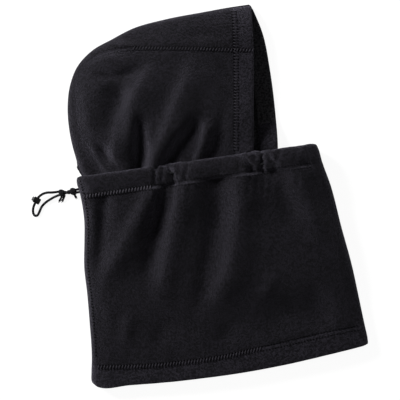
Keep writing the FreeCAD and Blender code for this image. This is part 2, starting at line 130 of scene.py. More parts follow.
def mixed(tree, *parts):
    """The sum of (socket, weight) parts."""
    total, *rest = [math_node(tree, "MULTIPLY", socket, weight) if weight != 1.0 else socket
                    for socket, weight in parts]
    for part in rest:
        total = math_node(tree, "ADD", total, part)
    return total


def bump(tree, shader, height, strength, distance):
    """Surface relief from a height socket, with distance in metres."""
    node = tree.nodes.new("ShaderNodeBump")
    set_inputs(node, {"Strength": strength, "Distance": distance})
    tree.links.new(height, node.inputs["Height"])
    tree.links.new(node.outputs["Normal"], shader.inputs["Normal"])


def object_place(tree):
    """The point on the object, in metres, that textures follow."""
    return tree.nodes.new("ShaderNodeTexCoord").outputs["Object"]


def fleece(name, dark, light, sheen=0.16):
    """Napped fleece: a short pebbled pile in clumps, a little worn, with painted shade in the
    pile's hollows, as its colour follows the same noise as its bump.
    """
    made, tree, shader = node_material(name, 0.92, 0.08, sheen)
    place = object_place(tree)
    pile = noise_node(tree, place, 430.0, 3.0, 0.7)
    clumps = noise_node(tree, place, 210.0, 2.0)
    wear = noise_node(tree, place, 22.0, 3.0)
    tone = mixed(tree, (pile, 0.74), (clumps, 0.20), (wear, 0.06))
    middle = tuple((a + b) / 2 for a, b in zip(dark, light))
    colour_by(tree, shader, tone, [(0.455, dark), (0.5, middle), (0.545, light)])
    fibre = noise_node(tree, place, 2400.0, 3.0, 0.7)
    height = mixed(tree, (pile, 1.0), (fibre, 0.4), (clumps, 0.3))
    bump(tree, shader, height, 1.0, 0.0022)
    return made


def spun(name, dark, light, roughness, specular):
    """Spun thread, with fine flecks."""
    made, tree, shader = node_material(name, roughness, specular)
    flecks = noise_node(tree, object_place(tree), 1800.0, 3.0, 0.7)
    colour_by(tree, shader, flecks, [(0.38, dark), (0.62, light)])
    bump(tree, shader, flecks, 0.6, 0.0002)
    return made


def braided(name, dark, light):
    """Braided elastic cord: crossing diagonal yarns, with light flecks."""
    made, tree, shader = node_material(name, 0.85, 0.1)
    place = object_place(tree)
    waves = []
    for turn in (0.9, -0.9):
        mapping = tree.nodes.new("ShaderNodeMapping")
        mapping.inputs["Rotation"].default_value = (0.5, 0.35, turn)
        tree.links.new(place, mapping.inputs["Vector"])
        wave = tree.nodes.new("ShaderNodeTexWave")
        set_inputs(wave, {"Scale": 260.0, "Distortion": 0.6, "Detail": 1.0})
        tree.links.new(mapping.outputs["Vector"], wave.inputs["Vector"])
        waves.append(wave.outputs["Fac"])
    weave = math_node(tree, "MAXIMUM", waves[0], waves[1])
    flecks = noise_node(tree, place, 1500.0, 2.0)
    tone = mixed(tree, (weave, 0.6), (flecks, 0.4))
    colour_by(tree, shader, tone, [(0.35, dark), (0.85, light)])
    bump(tree, shader, weave, 0.8, 0.0003)
    return made


def moulded(name, colour, roughness, specular=0.5):
    """Plastic or wire with a fine grain and a few paler scuffs."""
    made, tree, shader = node_material(name, roughness, specular)
    grain = noise_node(tree, object_place(tree), 900.0, 3.0)
    scuffed = tuple(channel * 1.8 + 0.001 for channel in colour)
    colour_by(tree, shader, grain, [(0.42, colour), (0.75, scuffed)])
    bump(tree, shader, grain, 0.25, 0.0001)
    return made


# The pile's darkest tone: darker grain, and painted shade in the hollows of the fleece's pile.
PILE_HOLLOW_SHADE = (0.0006, 0.0005, 0.0008)
PANEL = fleece("fleece_panel", PILE_HOLLOW_SHADE, (0.0055, 0.0050, 0.0070))
CROWN = fleece("fleece_crown", PILE_HOLLOW_SHADE, (0.0068, 0.0061, 0.0084), 0.08)
HEM = fleece("fleece_hem", (0.0007, 0.0006, 0.0010), (0.0100, 0.0090, 0.0124))
GAITER = fleece("fleece_gaiter", PILE_HOLLOW_SHADE, (0.0058, 0.0052, 0.0073), 0.12)
# A paler copy of the fleece: painted light on the garment's inside, which lies in shade under the
# near layer.
FLEECE_INSIDE_LIT = fleece("fleece_inside_lit", (0.0024, 0.0024, 0.0026), (0.0230, 0.0226, 0.0245), 0.14)
# Shaded and lit copies of one black thread: the rows are painted shade, as dark as the shade in
# the needle holes, and the crossing threads are a painted highlight.
THREAD_SHADED = spun("thread_row_shaded", (0.0004, 0.0004, 0.0005), (0.0060, 0.0056, 0.0070), 0.8, 0.05)
THREAD_CROSSING_LIT = spun("thread_crossing_lit", (0.0060, 0.0055, 0.0070), (0.030, 0.028, 0.035),
                    0.7, 0.1)
# A brighter copy of the thread: a painted highlight for the tunnel's crossing threads at the
# back, where the key light falls.
THREAD_LIT = spun("thread_tunnel_lit", (0.012, 0.011, 0.014), (0.070, 0.065, 0.080), 0.7, 0.15)
CORD = braided("cord_braid", (0.0006, 0.0006, 0.0008), (0.0080, 0.0080, 0.0095))
LOCK = moulded("lock_plastic", (0.002, 0.002, 0.0022), 0.5, 0.08)
BUTTON = moulded("button_plastic", (0.060, 0.060, 0.062), 0.36, 0.4)
STEEL = moulded("spring_steel", (0.32, 0.32, 0.33), 0.3)
set_inputs(STEEL.node_tree.nodes["Principled BSDF"], {"Metallic": 1.0})


# ---- Lines and plan geometry

SPACING = 2.6  # between the mesh's points, in plan
MERGE = 0.02  # points this close become one
EDGE_CLEARANCE = 0.12  # rows keep this far from the outline
AWAY_FROM_KEY = (0.74, -0.67)  # the way the key light shines, in plan
MEETS_TUNNEL = (4.0, 50.0)  # a fold that ends at a Y between these meets the tunnel


def smooth_line(points, step=SPACING):
    """A smooth line through points, as an array of points about step apart."""
    points = np.array(points, float)
    reach = np.r_[0.0, np.cumsum(np.linalg.norm(np.diff(points, axis=0), axis=1))]
    slopes = np.gradient(points, reach, axis=0)
    fine = []
    for i in range(len(points) - 1):
        span = reach[i + 1] - reach[i]
        t = np.linspace(0.0, 1.0, 24, endpoint=False)[:, None]
        fine.append((2 * t ** 3 - 3 * t ** 2 + 1) * points[i]
                    + (t ** 3 - 2 * t ** 2 + t) * span * slopes[i]
                    + (3 * t ** 2 - 2 * t ** 3) * points[i + 1]
                    + (t ** 3 - t ** 2) * span * slopes[i + 1])
    return evenly(np.vstack(fine + [points[-1:]]), step)


def evenly(line, step=SPACING):
    """The same line with its points step apart."""
    line = np.array(line, float)
    reach = np.r_[0.0, np.cumsum(np.linalg.norm(np.diff(line, axis=0), axis=1))]
    count = max(int(round(reach[-1] / step)), 2)
    at = np.linspace(0.0, reach[-1], count + 1)
    return np.column_stack([np.interp(at, reach, line[:, k]) for k in range(line.shape[1])])


def sideways(line):
    """Unit vectors to the left of a line's way."""
    along = np.gradient(line, axis=0)
    along /= np.linalg.norm(along, axis=1)[:, None]
    return np.column_stack([-along[:, 1], along[:, 0]])


def beside(line, inset):
    """The line moved inset to its left."""
    return line + sideways(line) * inset


def to_line(points, line):
    """Each point's distance from a line, its side (+ is left) and its part of the way."""
    best = np.full(len(points), 1e9)
    side = np.zeros(len(points))
    part = np.zeros(len(points))
    count = len(line) - 1
    for i in range(count):
        start = line[i]
        run = line[i + 1] - start
        rel = points - start
        t = np.clip(rel @ run / (run @ run), 0.0, 1.0)
        away = rel - t[:, None] * run
        distance = np.hypot(away[:, 0], away[:, 1])
        nearer = distance < best
        best[nearer] = distance[nearer]
        side[nearer] = np.sign(run[0] * rel[:, 1] - run[1] * rel[:, 0])[nearer]
        part[nearer] = ((i + t) / count)[nearer]
    return best, side, part


def is_inside(points, outline):
    """Which points lie inside an outline."""
    inside = np.zeros(len(points), bool)
    for (x1, y1), (x2, y2) in zip(outline, np.roll(outline, -1, axis=0)):
        crosses = (y1 > points[:, 1]) != (y2 > points[:, 1])
        if y1 != y2:
            at = x1 + (points[:, 1] - y1) / (y2 - y1) * (x2 - x1)
            inside ^= crosses & (points[:, 0] < at)
    return inside


def ease(value, start, end):
    """0 up to start, 1 from end on, and smooth between."""
    part = np.clip((value - start) / (end - start), 0.0, 1.0)
    return part * part * (3 - 2 * part)


def round_over(distance, radius):
    """How far a rounded edge has risen, 0 at the edge and 1 from radius on."""
    part = 1 - np.clip(distance / radius, 0.0, 1.0)
    return np.sqrt(np.clip(1 - part * part, 0.0, 1.0))


def grid_points(outline, fixed):
    """A staggered grid inside an outline, clear of the fixed points."""
    low = outline.min(axis=0)
    high = outline.max(axis=0)
    grid = []
    for j, y in enumerate(np.arange(low[1], high[1], SPACING * 0.87)):
        shift = SPACING / 2 if j % 2 else 0.0
        for x in np.arange(low[0] + shift, high[0], SPACING):
            grid.append((x, y))
    grid = np.array(grid)
    grid = grid[is_inside(grid, outline)]
    cells = {}
    for p in fixed:
        cells.setdefault((int(p[0] // SPACING), int(p[1] // SPACING)), []).append(p)
    kept = []
    for x, y in grid:
        near = [p for i in (-1, 0, 1) for j in (-1, 0, 1)
                for p in cells.get((int(x // SPACING) + i, int(y // SPACING) + j), ())]
        if all((p[0] - x) ** 2 + (p[1] - y) ** 2 > (0.62 * SPACING) ** 2 for p in near):
            kept.append((x, y))
    return kept


def plan_mesh(outline, rows):
    """Triangles that fill an outline. Each row is a line that edges follow."""
    coords = [tuple(p) for p in outline]
    edges = [(i, (i + 1) % len(outline)) for i in range(len(outline))]
    for row in rows:
        row = row[is_inside(row, outline)]
        if len(row) < 2:
            continue
        row = row[to_line(row, np.vstack([outline, outline[:1]]))[0] > EDGE_CLEARANCE]
        for i in range(len(row) - 1):
            if np.linalg.norm(row[i + 1] - row[i]) < 3 * SPACING:
                edges.append((len(coords) + i, len(coords) + i + 1))
        coords += [tuple(p) for p in row]
    coords += grid_points(outline, np.array(coords))
    made = geometry.delaunay_2d_cdt([Vector(p) for p in coords], edges,
                                    [list(range(len(outline)))], 1, MERGE)
    points = np.array([tuple(v) for v in made[0]])
    faces = np.array([f for f in made[2] if len(f) == 3])
    centres = points[faces].mean(axis=1)
    faces = faces[is_inside(centres, outline)]
    a, b, c = (points[faces[:, k]] for k in range(3))
    turned = (b - a)[:, 0] * (c - a)[:, 1] - (b - a)[:, 1] * (c - a)[:, 0] < 0
    faces[turned] = faces[turned][:, ::-1]
    return points, faces


def folds_at(points, folds, scale=1.0, shift=0.0):
    """Heights of soft folds, each (height, left width, right width, points). The points
    follow a fold's lit or dark flank, and its crest is shift widths further from the key.
    A fold that meets the tunnel is as deep there as in its middle."""
    total = np.zeros(len(points))
    for height, left, right, line in folds:
        line = smooth_line(line, 4.0)
        across = sideways(line)
        across *= math.copysign(1.0, (across @ np.array(AWAY_FROM_KEY)).mean())
        distance, side, part = to_line(points, line + across * shift * right)
        width = np.where(side > 0, left, right)
        ends = np.ones(len(points))
        for way, end in ((part, line[0]), (1 - part, line[-1])):
            if not MEETS_TUNNEL[0] < end[1] < MEETS_TUNNEL[1]:
                ends *= ease(way, -0.02, 0.34)
        total += scale * height * (0.08 + 0.92 * ends) * np.exp(-(distance / width) ** 2)
    return total


def ruffle(points, size, seed):
    """Smooth noise from about -1 to 1."""
    return np.array([noise.noise(Vector((x / size, y / size, seed))) for x, y in points])


# ---- The hood. The near layer is the one on top, and the far layer lies on the table.

FACE_TOP = (84.5, 217.2)
BACK = smooth_line([FACE_TOP, (55.6, 217), (26, 215.8), (-20, 213.5), (-60, 208),
                    (-86.4, 198.7), (-111, 189), (-131.5, 172.5), (-144, 150),
                    (-150, 126), (-151.8, 96), (-149, 66), (-145.5, 48), (-139.5, 36), (-136, 15),
                    (-135.5, -40), (-135.5, -95)])
NEAR_FACE = smooth_line([FACE_TOP, (82, 190), (77.5, 150), (71.5, 105), (63.5, 50),
                         (58, 10), (52, -95)])
FAR_FACE = smooth_line([FACE_TOP, (93.8, 180), (96.2, 138), (96.0, 99), (92.5, 46),
                        (87, 10), (84, -95)])
CROWN_LINE = smooth_line([(125, 153), (76.7, 161), (40, 166.5), (1, 173), (-35, 178.6),
                          (-63, 182.6), (-91, 183), (-122.5, 171.6), (-134.2, 156.8),
                          (-138.6, 130), (-140, 100), (-135, 66), (-127, 46),
                          (-125, 15), (-125, -110)])
HEM_WIDTH = 22.0
FAR_HEM_TOP = 6.5  # faces of the face opening's hem below this are the far half
HOOD_FOLD = 7.0  # radius of the hood's folded back
DOME_RISE = 14.0  # of the hood's middle above its folded back
DOME_REACH = 42.0  # from the back to where the dome is full
FACE_DROP = 5.0  # of the dome towards the face opening
HOOD_DEPTH = 3.2  # of the hood's upper face under the gaiter's
CREST_SHIFT = 0.55  # from a traced flank to its fold's crest, in widths
ON_TABLE = 0.15  # the cloth's underside above the table

# Folds traced in the photo, as folds_at reads them.
HOOD_FOLDS = [
    (5.4, 26, 9, [(-36, 168), (-40, 164), (-61, 141), (-80, 118), (-92, 102), (-102, 73),
                  (-110, 46)]),
    (-6.4, 11, 19, [(-93, 156), (-98, 121), (-104, 97), (-111, 74)]),
    (-6.0, 11, 7, [(-69, 108), (-72, 84), (-75, 64), (-78, 43)]),
    (5.8, 24, 10, [(6, 168), (-1, 151), (-14, 127), (-30, 99), (-44, 75), (-65, 44)]),
    (-5.2, 10, 9, [(8, 98), (-16, 74), (-34, 56), (-46, 40)]),
    (2.8, 8, 4, [(12, 90), (2, 61), (-8, 43)]),
    (1.0, 6, 4, [(-61, 98), (-60, 69), (-61, 43)]),
    (-2.0, 9, 6, [(30, 100), (22, 70), (10, 43)]),
    (1.2, 9, 8, [(-128, 151), (-131, 121), (-128, 85)]),
    (1.4, 4.2, 3.6, [(-132, 84), (-127, 72), (-116, 43)]),
    (-2.4, 7, 4.4, [(-121, 76), (-114, 60), (-106, 43)]),
    (-3.2, 6, 7, [(-118, 163), (-84, 157), (-50, 163)]),
    (1.6, 5, 4, [(-90, 197), (-73, 191), (-54, 182)]),
    (1.2, 6, 5, [(-122, 172), (-102, 177), (-72, 176)]),
    (-1.8, 13, 9, [(26, 150), (39, 130), (40, 112), (34, 86)]),
    (-1.4, 9, 8, [(-4, 196), (30, 190), (58, 186)]),
]


def dip_at(points, line, depth, width):
    """The groove that a row of stitches pulls into the cloth."""
    return -depth * np.exp(-(to_line(points, line)[0] / width) ** 2)


def hood_near(points):
    """Height of the hood's upper face."""
    x, y = points[:, 0], points[:, 1]
    inset = to_line(points, BACK)[0]
    dome = HOOD_FOLD * (1 + round_over(inset, HOOD_FOLD))
    dome += DOME_RISE * np.sin(math.pi / 2 * np.clip(inset / DOME_REACH, 0, 1))
    dome -= FACE_DROP * ease(x, 10, 90)

    # Inside the gaiter the hood stays under its upper face, down to the neck seam.
    neck = 21.0 - 5.5 * ease(-y, -32, 8) + 6.0 * ease(-y, 55, 92)
    under_gaiter = np.minimum(neck, gaiter_near(points) - HOOD_DEPTH)
    neck = under_gaiter + (neck - under_gaiter) * ease(y, 30, 42)
    collar = HOOD_FOLD + (neck - HOOD_FOLD) * round_over(inset, 9.0)
    height = collar + (dome - collar) * ease(y, 40, 88)

    # Folds and stitches, which fade out towards the folded back.
    free = ease(inset, 2.0, 16.0)
    soft = folds_at(points, HOOD_FOLDS, 1.5, CREST_SHIFT) * ease(y, 20, 42)
    soft += 1.3 * ruffle(points, 40.0, 2.0) + 0.55 * ruffle(points, 16.0, 4.0)
    height += soft * free
    height += dip_at(points, CROWN_LINE, 0.8, 2.2) * ease(x, -110, -70)
    height += dip_at(points, NEAR_FACE + (-HEM_WIDTH, 0), 0.9, 2.2) * free
    return height


def hood_far(points):
    """Height of the hood's underside, on the table or over the tunnel's far wall."""
    inset = to_line(points, BACK)[0]
    y = points[:, 1]
    fold = HOOD_FOLD * (1 - round_over(inset, HOOD_FOLD))
    lift = 2.9 + 6.3 * ease(y, -25, 8)
    lift = lift * (1 - ease(y, 46, 84))
    return ON_TABLE + lift * (1 - fold / HOOD_FOLD) + fold * (1 - ON_TABLE / HOOD_FOLD)


# ---- The gaiter

TOP_Y = 42.0
LEFT = smooth_line([(-150, TOP_Y), (-151, 34), (-149.3, 24), (-148.3, 10), (-148.6, -10),
                    (-152, -35), (-156.6, -66), (-157.6, -98), (-159.5, -130),
                    (-163.6, -179), (-166, -193), (-167, -203), (-165.8, -207)])
RIGHT = smooth_line([(137.4, TOP_Y), (140, 32), (141.2, 22), (148.6, -13), (154.2, -62),
                     (160.6, -111), (163.8, -153), (166, -184), (167, -196),
                     (166.8, -205)])
BOTTOM = smooth_line([LEFT[-1], (-162.5, -209), (-120, -213.2), (-60, -216.4), (0, -217.2),
                      (60, -215), (120, -209.8), RIGHT[-1]])
TOP = evenly([(-150, TOP_Y), (137.4, TOP_Y)])
SEAM_Y = 16.3  # the middle of the tunnel's twin rows
TUNNEL_WIDTH = 25.7
TUNNEL_PUFF = 2.8  # of the tunnel over the cord
MIDDLE_HEIGHT = 26.2  # of the tube's upper face
TUNNEL_RISE = 5.0  # of that height towards the tunnel
FOOT_DROP = 9.0  # of that height towards the hem
TUNNEL_SEAM = evenly([(-160.0, SEAM_Y), (150.0, SEAM_Y)])
HEM_SEAM = smooth_line([(-175, -183.2), (-164, -184.4), (-96, -191.8), (-19, -194),
                        (47, -189.5), (112, -184), (175, -180.4)])

# Folds traced in the photo, as folds_at reads them.
GAITER_FOLDS = [
    (5.8, 16, 10, [(-64, 16), (-97, -26), (-119, -56), (-144, -90)]),
    (-4.6, 11, 11, [(-54, 16), (-60, -8), (-75, -45), (-97, -107)]),
    (-4.0, 9, 8, [(-126, 6), (-134, -30), (-147, -76)]),
    (5.2, 17, 10, [(-29, 18), (-47, -32), (-63, -77), (-78, -122)]),
    (-4.8, 13, 13, [(7, 16), (1, -24), (-10, -60), (-30, -122), (-38, -144)]),
    (5.8, 20, 11, [(40, 16), (26, -43), (10, -92), (-26, -138)]),
    (-3.4, 12, 11, [(76, 18), (86, -23), (95, -66)]),
    (2.4, 16, 11, [(104, 16), (112, -30), (124, -84)]),
    (-4.2, 24, 26, [(34, -142), (72, -138), (104, -136), (136, -128)]),
    (-2.4, 14, 14, [(96, -166), (128, -158)]),
    (1.5, 8, 7, [(68, -100), (54, -118), (44, -134)]),
    (2.0, 10, 9, [(-110, -120), (-128, -168)]),
    (-1.6, 10, 10, [(-78, -136), (-86, -176)]),
    (-2.4, 14, 12, [(4, -150), (-12, -182)]),
    (1.6, 8, 9, [(140, -40), (148, -110), (152, -165)]),
]

# Where the cord bunches the tunnel, as (place along X, depth of the pleat).
GATHERS = [(-66, 2.4), (-57, 4.6), (-48, 3.4), (-38, 5.2), (-28, 3.6), (-19, 3.4), (-9, 1.0),
           (22, 0.8), (44, 2.2), (53, 4.4), (62, 3.2), (71, 5.2), (80, 4.0), (90, 2.0),
           (112, 2.4), (120, 1.6), (129, 2.2)]


def gather_folds():
    """Folds where the cord bunches the tunnel: three broad hollows, a pleat with a low puff
    beside it at each gather, and at deep ones a slanting crease and a dent below."""
    made = [(-3.4, 15, 15, [(-42, 46), (-40, 30), (-42, 12)]),
            (-3.0, 13, 13, [(66, 46), (67, 30), (64, 12)]),
            (-1.0, 7, 7, [(121, 46), (121, 30), (120, 20)])]
    for k, (place, deep) in enumerate(GATHERS):
        lean = random.uniform(3.0, 9.0) * (1 if k % 3 else -0.7)
        foot = 17.0 + 6.0 * random.random()
        wide = random.uniform(2.8, 4.6)
        pleat = [(place + lean, 45), (place, 33), (place - lean * 0.6, foot)]
        puff = [(place + lean + 4.2, 44), (place + 4, 33),
                (place + 3.4 - lean * 0.6, foot + 2)]
        made.append((-(0.45 + 0.3 * (k % 2)) * deep, wide, wide * 0.8, pleat))
        made.append((deep * 0.25, 2.8, 2.4, puff))
        if deep > 3:
            crease = [(place - 6, 41), (place - 1, 33), (place + 6, 24)]
            made.append((-0.5 * deep, 2.6, 2.4, crease))
        if deep > 2:
            dent = [(place, 15), (place - 2, 5), (place - 6, -14)]
            made.append((-0.3 * deep, 3.4, 3.0, dent))
    return made


def gathered_edge(points):
    """How far the tunnel's top edge is drawn down at each pleat."""
    pulled = np.zeros(len(points))
    for place, deep in GATHERS:
        pulled += 0.14 * deep * np.exp(-((points[:, 0] - place - 1.5) / 3.0) ** 2)
    return pulled * ease(points[:, 1], 26, TOP_Y)


TUNNEL_FOLDS = gather_folds()


def side_inset(points):
    """Distance from the nearer of the gaiter's folded sides."""
    return np.minimum(to_line(points, LEFT)[0], to_line(points, RIGHT)[0])


def edge_radius(y):
    """Radius of the gaiter's folded sides."""
    return 6.8 + 3.7 * ease(y, -160, -60) + 5.25 * ease(y, -30, 16)


def gaiter_near(points):
    """Height of the gaiter's upper face, with its tunnel and its hem."""
    x, y = points[:, 0], points[:, 1]
    inset = side_inset(points)
    radius = edge_radius(y)
    middle = (MIDDLE_HEIGHT + TUNNEL_RISE * ease(y, -40, 14)
              - FOOT_DROP * ease(-y, 100, 165))
    height = radius * (1 + round_over(inset, radius))
    height += np.maximum(middle - 2 * radius, 0) * np.sin(
        math.pi / 2 * np.clip(inset / 34.0, 0, 1))
    in_tunnel = ease(y, SEAM_Y - 2, SEAM_Y + 3)

    # Folds, the puffed tunnel and the stitches, which fade out towards the folded sides.
    free = ease(inset, 3.0, 20.0)
    soft = folds_at(points, GAITER_FOLDS, 1.35, CREST_SHIFT) * (1 - 0.75 * in_tunnel)
    soft *= ease(y, -196, -172)
    soft += folds_at(points, TUNNEL_FOLDS)
    soft += 1.6 * ruffle(points, 46.0, 8.0) + 0.6 * ruffle(points, 18.0, 5.0)
    height += soft * free
    up_tunnel = np.clip((y - SEAM_Y) / TUNNEL_WIDTH, 0, 1)
    height += in_tunnel * TUNNEL_PUFF * np.sin(math.pi * up_tunnel) * free
    height += dip_at(points, TUNNEL_SEAM, 0.9, 1.9) * free * (1 - 0.6 * ease(x, -70, -40))
    height += dip_at(points, HEM_SEAM, 0.8, 2.4) * free
    return height


def gaiter_far(points):
    """Height of the gaiter's underside."""
    inset = side_inset(points)
    radius = edge_radius(points[:, 1])
    return ON_TABLE + (radius - ON_TABLE) * (1 - round_over(inset, radius))


# ---- Cloth pieces

CLOTH = 2.4  # thickness of one layer
TURNED_HEM = 4.4  # the face opening's hem
BOTTOM_HEM = 4.8
BOTTOM_ROLL = 2.3  # radius of the bottom hem's edge
CASING = 8.2  # the tunnel: two layers, with the cord's channel between
CHANNEL = (2.5, 5.6)  # start and end of the channel, in from the outer face
SLOT_Y = 25.0  # the middle of the buttonhole
SLOT_Z = 4.2
SLOT_HALF = (3.4, 2.1)  # half its length and half its height
SLOT_SIDE_X = -138  # only faces behind this are cut
THIN = 0.3  # the least thickness of a rolled edge
SHARP = math.radians(55)  # the angle from which an edge is shaded sharp


def normals_of(verts, faces):
    """The unit normal at each vertex."""
    a, b, c = (verts[faces[:, k]] for k in range(3))
    across = np.cross(b - a, c - a)
    total = np.zeros_like(verts)
    for k in range(3):
        np.add.at(total, faces[:, k], across)
    return total / np.maximum(np.linalg.norm(total, axis=1)[:, None], 1e-12)


def welded(near, near_faces, far, far_faces):
    """Two layers of 3-D points as one surface, joined wherever they meet along a fold."""
    verts = np.vstack([near, far])
    faces = np.vstack([near_faces, far_faces[:, ::-1] + len(near)])
    keys = np.round(verts / MERGE).astype(int)
    kept, index = np.unique(keys, axis=0, return_inverse=True)
    index = index.ravel()
    first = np.zeros(len(kept), int)
    first[index[::-1]] = np.arange(len(verts))[::-1]
    return verts[first], index[faces]


def rim_of(faces):
    """Edges that only one face uses, in that face's direction."""
    edges = np.vstack([faces[:, [0, 1]], faces[:, [1, 2]], faces[:, [2, 0]]])
    used = {(a, b) for a, b in edges.tolist()}
    return [(a, b) for a, b in used if (b, a) not in used]


def slab(outer, inner, faces):
    """A closed layer between two surfaces that share their faces."""
    used = np.unique(faces)
    place = {v: i for i, v in enumerate(used.tolist())}
    count = len(used)
    local = [[place[v] for v in face] for face in faces.tolist()]
    made = local + [[v + count for v in face[::-1]] for face in local]
    made += [[place[b], place[a], place[a] + count, place[b] + count]
             for a, b in rim_of(faces)]
    return np.vstack([outer[used], inner[used]]), made


def add_mesh(name, verts, faces, material):
    """A smooth shaded mesh piece, from vertices in millimetres."""
    mesh = bpy.data.meshes.new(name)
    mesh.from_pydata((np.asarray(verts) * MM).tolist(), [], faces)
    mesh.validate()
    mesh.polygons.foreach_set("use_smooth", [True] * len(mesh.polygons))
    mesh.materials.append(material)
    return linked(name, mesh)


def cloth(name, verts, normals, faces, thickness, material, channel=None):
    """A cloth piece: its outer face, its inner face and its edges. thickness is one value
    per vertex. channel marks the vertices that have the cord's channel inside them."""
    inner = verts - normals * thickness[:, None]
    made, polygons = slab(verts, inner, faces)
    if channel is not None:
        start, end = CHANNEL
        core = faces[channel[faces].all(axis=1)]
        more, extra = slab(verts - normals * end, verts - normals * start, core)
        polygons += [[v + len(made) for v in face] for face in extra]
        made = np.vstack([made, more])
    piece = add_mesh(name, made, polygons, material)
    piece.data.set_sharp_from_angle(angle=SHARP)
    return piece


def cloths(pieces, normals, faces):
    """Cloth pieces by name. Each is its vertices, the faces chosen for it, and the rest of
    what cloth is given."""
    return {name: cloth(name, verts, normals, faces[chosen], *rest)
            for name, (verts, chosen, *rest) in pieces.items()}


def face_x(line, y):
    """X of a face line at places along Y."""
    return np.interp(y, line[::-1, 1], line[::-1, 0])


def hem_faces(centres, near_count):
    """Which faces lie in the face opening's hem."""
    hem = np.zeros(len(centres), bool)
    for chosen, line in ((slice(0, near_count), NEAR_FACE), (slice(near_count, None), FAR_FACE)):
        at = centres[chosen]
        hem[chosen] = at[:, 0] > face_x(line, at[:, 1]) - HEM_WIDTH
    return hem


def hood_layer(face):
    """The plan mesh of a hood layer that ends at a face line."""
    foot = evenly([BACK[-1], face[-1]])
    outline = np.vstack([BACK, foot[1:], face[::-1][1:-1]])
    rows = [beside(BACK, inset) for inset in (0.25, 0.9, 1.9, 3.2, 5.0, 7.2)]
    rows += [beside(CROWN_LINE, step) for step in (-1.8, 0.0, 1.8)]
    rows += [face + (-inset, 0) for inset in (0.3, 1.0, 2.2)]
    rows += [face + (-HEM_WIDTH + step, 0) for step in (-1.8, 0.0, 1.8)]
    return plan_mesh(outline, rows)


def build_hood():
    """The side panels, the crown strip and the face opening's hem, by name."""
    near, near_faces = hood_layer(NEAR_FACE)
    far, far_faces = hood_layer(FAR_FACE)
    verts, faces = welded(np.column_stack([near, hood_near(near)]), near_faces,
                          np.column_stack([far, hood_far(far)]), far_faces)
    near_count = len(near_faces)
    normals = normals_of(verts, faces)
    centres = verts[faces].mean(axis=1)
    crown_side = to_line(centres[:, :2], CROWN_LINE)[1] < 0
    hem = hem_faces(centres, near_count)
    is_near = np.arange(len(faces)) < near_count

    # The hem is turned once, so it is two layers thick, and its edge is a soft roll.
    near_vertex = np.zeros(len(verts), bool)
    near_vertex[np.unique(faces[:near_count])] = True
    edge_x = np.where(near_vertex, face_x(NEAR_FACE, verts[:, 1]),
                      face_x(FAR_FACE, verts[:, 1]))
    from_edge = edge_x - verts[:, 0]
    single = np.full(len(verts), CLOTH)
    roll = TURNED_HEM / 2 * (1 - round_over(from_edge, TURNED_HEM / 2))
    rolled = verts - normals * roll[:, None]
    double = np.maximum(TURNED_HEM - 2 * roll, THIN)
    made = cloths({
        "hood_panel_near": (verts, ~crown_side & ~hem & is_near, single, PANEL),
        # The far panel gets the paler fleece too: painted light on the inside.
        "hood_panel_far": (verts, ~crown_side & ~hem & ~is_near, single, FLEECE_INSIDE_LIT),
        "hood_crown": (verts, crown_side & ~hem, single, CROWN),
        "face_opening_hem": (rolled, hem, double, HEM),
    }, normals, faces)

    # The far half of the hem gets the paler fleece: painted light on the garment's inside, which
    # lies in the near layer's shade.
    mesh = made["face_opening_hem"].data
    mesh.materials.append(FLEECE_INSIDE_LIT)
    centres = np.array([polygon.center for polygon in mesh.polygons]) / MM
    lit_far_half = centres[:, 2] < FAR_HEM_TOP
    mesh.polygons.foreach_set("material_index", lit_far_half.astype(np.int32))
    return made


def gaiter_layer():
    """The plan mesh that both of the gaiter's layers share."""
    outline = np.vstack([LEFT, BOTTOM[1:], RIGHT[::-1][1:], TOP[::-1][1:-1]])
    side_rows = (0.3, 1.1, 2.4, 4.2, 6.6, 9.6, 13.0)
    rows = [beside(LEFT, inset) for inset in side_rows]
    rows += [beside(RIGHT, -inset) for inset in side_rows]
    rows += [TOP - (0, inset) for inset in (0.3, 1.0, 2.2, 4.0)]
    rows += [beside(BOTTOM, inset) for inset in (0.25, 0.9, 2.0)]
    rows += [TUNNEL_SEAM + (0, step) for step in (-1.9, 0.0, 1.9)]
    rows += [HEM_SEAM + (0, step) for step in (-1.9, 0.0, 1.9)]
    return plan_mesh(outline, rows)


def build_gaiter():
    """The tube, the drawcord tunnel and the bottom hem, by name."""
    points, plan_faces = gaiter_layer()
    verts, faces = welded(np.column_stack([points, gaiter_near(points)]), plan_faces,
                          np.column_stack([points, gaiter_far(points)]), plan_faces)
    normals = normals_of(verts, faces)
    centres = verts[faces].mean(axis=1)
    tunnel = centres[:, 1] > SEAM_Y
    hem = centres[:, 1] < np.interp(centres[:, 0], HEM_SEAM[:, 0], HEM_SEAM[:, 1])

    # The buttonhole is an ellipse cut from the tunnel's back end.
    from_slot = (centres[:, 1:] - (SLOT_Y, SLOT_Z)) / SLOT_HALF
    slot = (centres[:, 0] < SLOT_SIDE_X) & ((from_slot ** 2).sum(axis=1) < 1)

    # The tunnel and the hem are turned, so they are thicker and end in soft rolls.
    single = np.full(len(verts), CLOTH)
    from_top = TOP_Y - verts[:, 1]
    roll = 3.6 * (1 - round_over(from_top, 4.0))
    tunnel_verts = verts - normals * roll[:, None]
    tunnel_verts[:, 1] -= gathered_edge(verts)
    casing = CASING - 2 * roll
    channel = (from_top > 4.5) & (from_top < 22.5)
    from_bottom = to_line(verts[:, :2], BOTTOM)[0]
    fold = BOTTOM_ROLL * (1 - round_over(from_bottom, BOTTOM_ROLL))
    hem_verts = verts - normals * fold[:, None]
    double = np.maximum(BOTTOM_HEM - 2 * fold, THIN)
    return cloths({
        "gaiter_tube": (verts, ~tunnel & ~hem, single, GAITER),
        "gaiter_tunnel": (tunnel_verts, tunnel & ~slot, casing, GAITER, channel),
        "gaiter_hem": (hem_verts, hem, double, HEM),
    }, normals, faces)


